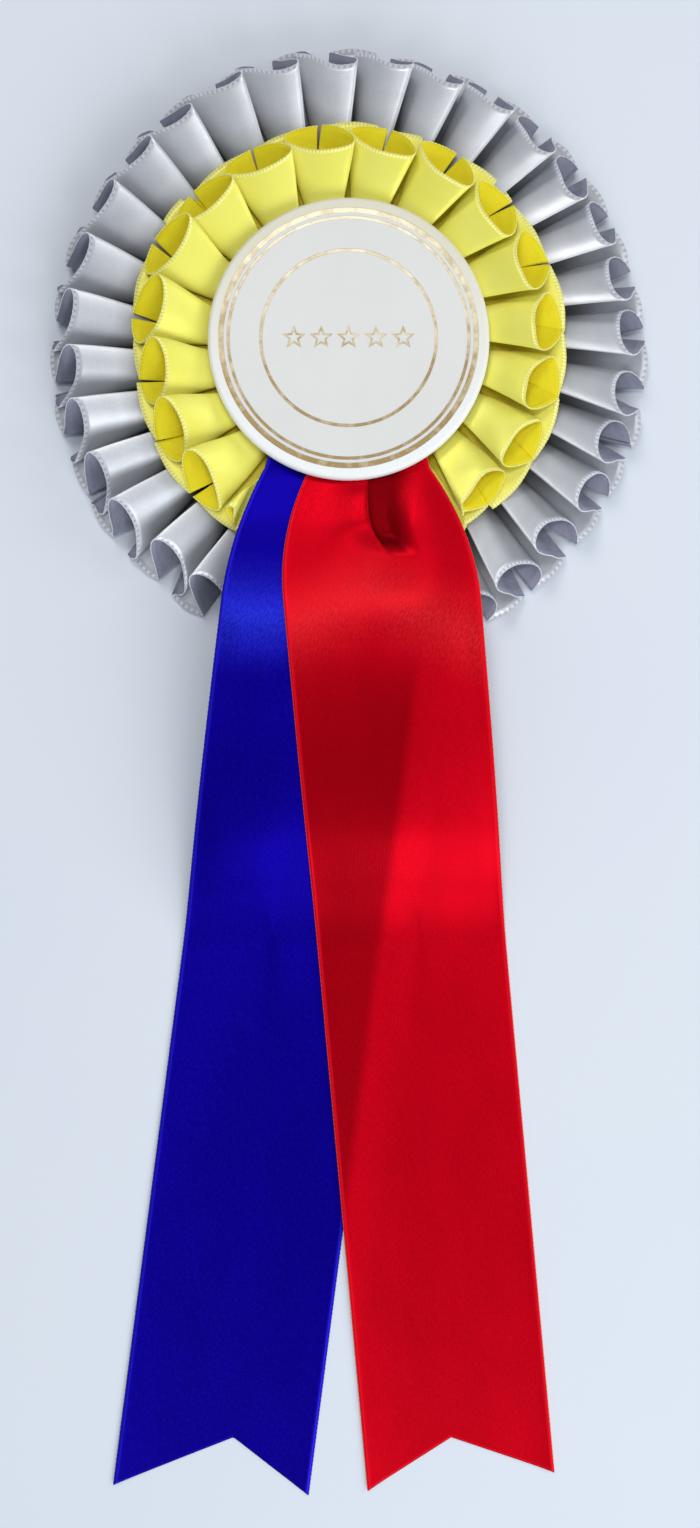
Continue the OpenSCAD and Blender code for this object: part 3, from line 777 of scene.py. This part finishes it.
# head_r, head_z: the gathering thread's place. rim_r, rim_z: the back panels' outer edge, with tilt
# lifting it at the top. rise: how far the front panels stand up, from the share knee of the way out
# and with the exponent curl. belly: how far they sag in between. set_back: how far their edge stays
# back from the rim: mean, more at the right, more at the top. swirl: the panels' lean, its mean and
# its swing. slit, reach: how much the slits and the rim vary. picot, bead: the selvedge's loops.
SILVER = {
    "seed": 5, "count": 32, "phase": -6.4, "swirl": (1.7, 2.1), "edges": SILVER_EDGE, "pressed": False,
    "head_r": 20, "head_z": 2.3, "rim_r": 63.5, "rim_z": TABLE + 0.25, "tilt": 2.0, "width": 45.0,
    "rise": 8.4, "knee": 0.3, "curl": 1.0, "belly": 0.5, "set_back": (6.7, 0.8, -0.2),
    "slit": 0.07, "reach": 0.6, "picot": 1.27, "bead": 0.165,
}
YELLOW = {
    "seed": 9, "count": 20, "phase": -11.8, "swirl": (3.9, 3.6), "edges": YELLOW_EDGE, "pressed": True,
    "head_r": 18.5, "head_z": 5.5, "rim_r": 45, "rim_z": 6.4, "tilt": 0.3, "width": 28.5,
    "rise": 4.0, "knee": 0.35, "curl": 1.2, "belly": 0.6, "set_back": (6.6, 0.4, 0.0),
    "slit": 0.03, "reach": 0.8, "picot": 0.76, "bead": 0.20,
}


def pleat_columns(spec, rng):
    """Every column of the ring's cloth, in order round it, with the lean and the reach of the pleat that it
    is in.
    A column is: place under the disc, place at the rim, layer, rise, set-back, painted shade, lateness."""
    count = spec["count"]
    pitch = 360 / count

    def jit(amount):
        return rng.uniform(-amount, amount, count)

    shift, lean = jit(0.03), jit(0.7)
    lift_by, back_by, reach_by = 1 + jit(0.14), 1 + jit(0.16), jit(spec["reach"])
    left_fold, right_fold = jit(spec["slit"]), jit(spec["slit"])
    knots = []
    for k in range(count):
        edge = edge_shape(spec["edges"], spec["phase"] + k * pitch)
        loop = np.stack([ROOT, edge[:, 0], LAYER, RISE, edge[:, 1], DEEP_FOLD_SHADE, LATE], -1)
        loop[0, 1] += left_fold[k]
        loop[-1, 1] += right_fold[k]
        loop[:, 3] *= lift_by[k]
        loop[:, 4] *= back_by[k]
        next_edge = edge_shape(spec["edges"], spec["phase"] + (k + 1) * pitch)
        here = loop[-1, 1]
        ahead = next_edge[0, 0] + left_fold[(k + 1) % count]
        # the slit's two folds run down to the back panel, which joins this pleat to the next
        first, last = loop[0].copy(), loop[-1].copy()
        first[:4] += [0.02, 0.02, -0.24, 0]
        last[:4] += [-0.02, -0.02, -0.37, 0]
        back = [[0.07, here + 0.04, 0.0, 0.0, -0.01, 0.9, 1.0],
                [0.50, (here + 1 + ahead) / 2, 0.1, 0.01, -0.08, 1.0, 0.5],
                [0.93, 1 + ahead - 0.04, 0.0, 0.0, -0.01, 0.9, 1.0]]
        one = np.vstack([first, loop, last, back])
        one[:, 0] += k
        one[:, 1] += k + shift[k]
        knots.append(one)
    per = len(knots[0]) * PLEAT_STEPS
    p = np.vstack(knots)
    before, behind = p[-1:].copy(), p[:2].copy()
    before[:, :2] -= count
    behind[:, :2] += count
    p = rounded(np.vstack([before, p, behind]), PLEAT_STEPS)[PLEAT_STEPS:-PLEAT_STEPS - 1]
    which = np.arange(len(p)) // per
    return p, lean[which][None], reach_by[which][None]


def pleated(name, spec, materials):
    """A ribbon in box pleats, closed into a ring."""
    p, lean, reach_by = pleat_columns(spec, np.random.default_rng(spec["seed"]))
    root, rim, layer, share, back, fold_shade, late = (p[None, :, i] for i in range(7))
    total = len(p)

    # v runs from the gathering thread to the outer edge, and spread only over the part that rises
    v = np.linspace(0, 1, PLEAT_ROWS)[:, None] ** PLEAT_CROWDING
    spread = clamp01((v - spec["knee"]) / (1 - spec["knee"]))
    spread = mix(spread, smooth(spread), 0.35)
    lift = mix(0.15 * v, 1, spread ** spec["curl"])

    place = mix(root, rim, mix(smooth((v - 0.15) / 0.85), clamp01((v - 0.74) / 0.26), clamp01(late)))
    angle = spec["phase"] + 360 / spec["count"] * place
    swirl = (spec["swirl"][0] + spec["swirl"][1] * np.sin(np.radians(angle)) + lean) * v
    phi = np.radians(angle + swirl)
    rim_r = spec["rim_r"] + reach_by + PLEAT_RIPPLE * np.cos(2 * phi + 0.6)
    mean, right, top = spec["set_back"]
    set_back = mean + right * np.sin(phi) + top * np.cos(phi)

    def points(pressed):
        free = 1 - pressed
        r = mix(spec["head_r"], rim_r - set_back * back * free, v)
        ground = mix(spec["head_z"], spec["rim_z"] + spec["tilt"] * (1 + np.cos(phi)), spread)
        sag = spec["belly"] * np.sin(math.pi * clamp01((v - 0.2) / 0.8)) * share * free
        z = ground + layer * (1 - 0.45 * pressed) + share * spec["rise"] * lift * free - sag
        return np.stack([r * np.sin(phi), r * np.cos(phi), z], -1)

    mid = points(0.0)
    if spec["pressed"]:
        # the tails lie on the pleats beneath them and bend down those beside them
        inside = footprint(mid[..., 0], mid[..., 1])
        mid = points(np.maximum(0.45 * smooth((inside + 16) / 16), smooth((inside + 3.5) / 4.0)))
    along = np.cumsum(np.linalg.norm(mid[-1] - np.roll(mid[-1], 1, 0), axis=1))
    across = np.concatenate([[0], np.cumsum(np.linalg.norm(np.diff(mid[:, 0], axis=0), axis=1))])
    across *= spec["width"] / across[-1]
    uv = np.stack([np.broadcast_to(along[None], (PLEAT_ROWS, total)),
                   np.broadcast_to(across[:, None], (PLEAT_ROWS, total))], -1)
    thick = selvedge_thickness(CLOTH, spec["width"] - across)[:, None] * np.ones((1, total))
    piece = sheet_mesh(name, mid, uv, thick, True, materials)
    piece = join_shell(piece, [picots(mid[-1], spec["picot"], True, 0.12, spec["bead"])], 2)
    # painted shade in the deep folds between the pleats, fading towards the rim
    add_shade(piece, clamp01(fold_shade) * mix(1, RIM_DARKNESS, smooth((v - 0.35) / 0.65)))
    return piece


# ---------------------------------------------------------------- small hidden pieces
def running_stitch(name, node, material):
    """A gathering thread in place of node, which runs up and down through the cloth."""
    steps, stitches, depth, radius = 480, 24, 0.11, 0.14
    low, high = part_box(node)
    r, z = high.x / MM - 0.15, (low.z + high.z) / 2 / MM
    turn = np.arange(steps) * 2 * math.pi / steps
    path = np.stack([r * np.cos(turn), r * np.sin(turn), z + depth * np.sin(turn * stitches)], -1)
    points, faces, uv = tube(path, np.full(steps, radius), True)
    return build(name, points, faces, np.zeros(len(faces)), uv, [material])


def foam_block(name, node, material):
    """The half-round foam pad, with a crowned top and softened edges."""
    low, high = (np.array(c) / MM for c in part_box(node))
    rings, spokes = 14, 49
    turn = np.linspace(0, math.pi, spokes)[None, :]
    s = np.linspace(0, 1, rings)[:, None]
    x = high[0] * s * np.cos(turn)
    y = low[1] + 0.2 + (high[1] - low[1] - 0.2) * s * np.sin(turn)
    height = high[2] - low[2]
    bulge = np.sqrt(1 - 0.9 * s**6)
    mid = np.stack([x, y, np.full_like(x, (low[2] + high[2]) / 2)], -1)
    top, bottom = mid.copy(), mid.copy()
    top[..., 2] += height / 2 * bulge
    bottom[..., 2] -= height / 2 * bulge
    points = np.concatenate([top.reshape(-1, 3), bottom.reshape(-1, 3)])
    index = np.arange(rings * spokes).reshape(rings, spokes)
    skin = rings * spokes
    quads = np.stack([index[:-1, :-1], index[1:, :-1], index[1:, 1:], index[:-1, 1:]], -1).reshape(-1, 4)
    outer = index[-1]
    wall = np.stack([outer[:-1], outer[:-1] + skin, outer[1:] + skin, outer[1:]], -1)
    line = np.concatenate([index[::-1, -1], index[1:, 0]])
    front = np.stack([line[:-1], line[:-1] + skin, line[1:] + skin, line[1:]], -1)
    faces = np.concatenate([quads, quads[:, ::-1] + skin, wall, front])
    return build(name, points, faces, np.zeros(len(faces)), points[:, :2], [material])


# ---------------------------------------------------------------- build the scene
make_camera()
make_floor()
make_sky()
for light in LIGHTS:
    area_light(*light)
scene.view_settings.view_transform = "Standard"

# silver: shaded is painted shade in the deep folds, and root painted shade next to the yellow tier
silver = satin("silver_satin", (0.71, 0.725, 0.765), (0.61, 0.625, 0.665), (0.86, 0.87, 0.92),
               SILVER["width"], shaded=(0.012, 0.012, 0.02), root=(24, 35, (0.20, 0.20, 0.15)),
               dash=(SILVER["picot"], (0.95, 0.96, 1.0), (0.45, 0.46, 0.53)))
silver_back = reverse("silver_reverse", (0.34, 0.35, 0.43), (0.24, 0.25, 0.33),
                      shaded=(0.03, 0.03, 0.05))
silver_thread = thread("silver_selvedge", (0.92, 0.93, 1.0), (0.50, 0.51, 0.60))
# yellow: shaded is painted shade in the folds, and root painted shade next to the disc
yellow = satin("yellow_satin", (0.96, 0.93, 0.20), (0.93, 0.88, 0.13), (0.99, 0.98, 0.42),
               YELLOW["width"], lustre=0.12, shaded=(0.50, 0.39, 0.0),
               root=(10, 13.5, (0.45, 0.42, 0.05)),
               dash=(YELLOW["picot"], (1.0, 0.98, 0.45), (0.72, 0.66, 0.06)))
yellow_back = reverse("yellow_reverse", (0.90, 0.80, 0.03), (0.82, 0.70, 0.02),
                      shaded=(0.60, 0.45, 0.0))
yellow_thread = thread("yellow_selvedge", (1.0, 0.97, 0.35), (0.80, 0.70, 0.08))
# red: crest is a painted highlight where the ribbon bends over, and shaded is painted shade
red = satin("red_satin", (0.62, 0.0006, 0.010), (0.54, 0.0005, 0.008), (0.85, 0.006, 0.018),
            RED["width"], tint=(1.0, 0.05, 0.08), shaded=(0.15, 0.0002, 0.002),
            crest_highlight=(51, 18, 0.45, 0.38, (0.98, 0.055, 0.06)))
red_back = reverse("red_reverse", (0.50, 0.002, 0.010), (0.40, 0.002, 0.008))
red_thread = thread("red_selvedge", (0.95, 0.11, 0.012), (0.75, 0.02, 0.008))
# blue: crest is a painted highlight where the ribbon bends over, and shaded is painted shade
blue = satin("blue_satin", (0.005, 0.0002, 0.31), (0.004, 0.0002, 0.26), (0.02, 0.015, 0.72),
             BLUE["width"], lustre=0.45, tint=(0.08, 0.08, 1.0), shaded=(0.001, 0.0001, 0.12),
             crest_highlight=(56, 10, -0.1, 0.62, (0.035, 0.06, 0.85)))
blue_back = reverse("blue_reverse", (0.008, 0.001, 0.28), (0.006, 0.001, 0.2))
blue_thread = thread("blue_selvedge", (0.012, 0.004, 0.45), (0.006, 0.001, 0.2))
finish_of = {
    "ivory_paper": cover_paper("ivory_paper"),
    "gold_foil": foil("gold_foil"),
    "grey_board": paper("grey_board", (0.42, 0.40, 0.36), (0.33, 0.31, 0.28), 0.8, (0.18, 0.16, 0.14), 3.0),
    "white_paper": paper("white_paper", (0.80, 0.80, 0.78), (0.75, 0.75, 0.73), 0.7),
    "white_thread": thread("white_thread", (0.85, 0.85, 0.83), (0.7, 0.7, 0.68)),
    "foam": foam_material("foam", (0.88, 0.88, 0.86), (0.7, 0.7, 0.68)),
    "nickel_steel": metal("nickel_steel", (0.74, 0.73, 0.70), 0.24, (0.62, 0.60, 0.56)),
    "staple_wire": metal("staple_wire", (0.70, 0.71, 0.73), 0.3, (0.55, 0.56, 0.58)),
}

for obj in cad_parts.values():
    for i, m in enumerate(obj.data.materials):
        slot = m.name.split(".")[0] if m else ""
        if slot in finish_of:
            obj.data.materials[i] = finish_of[slot]

silver_ring = pleated("silver_pleats", SILVER, [silver, silver_back, silver_thread])
yellow_ring = pleated("yellow_pleats", YELLOW, [yellow, yellow_back, yellow_thread])
red_tail = make_tail("red_ribbon", red_points(), RED, [red, red_back, red_thread], red_shade)
blue_tail = make_tail("blue_ribbon", blue_points(), BLUE, [blue, blue_back, blue_thread], blue_shade)
outer_thread = running_stitch("outer_thread", "outer_stitching", finish_of["white_thread"])
inner_thread = running_stitch("inner_thread", "inner_stitching", finish_of["white_thread"])
foam = foam_block("foam_cushion", "foam_pad", finish_of["foam"])

for piece, body, slot, *nodes in (
    (silver_ring, "rosette", "silver_satin", "outer_pleats"),
    (yellow_ring, "rosette", "yellow_satin", "inner_pleats"),
    (red_tail, "red_tail", "red_satin", "red_tail", "red_tail_tuck"),
    (blue_tail, "blue_tail", "blue_satin", "blue_tail", "blue_tail_tuck"),
    (outer_thread, "rosette", "white_thread", "outer_stitching"),
    (inner_thread, "rosette", "white_thread", "inner_stitching"),
    (foam, "rosette", "foam", "foam_pad"),
):
    if body == "rosette":
        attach(piece, body)
    else:
        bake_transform(piece)
    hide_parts(*nodes)
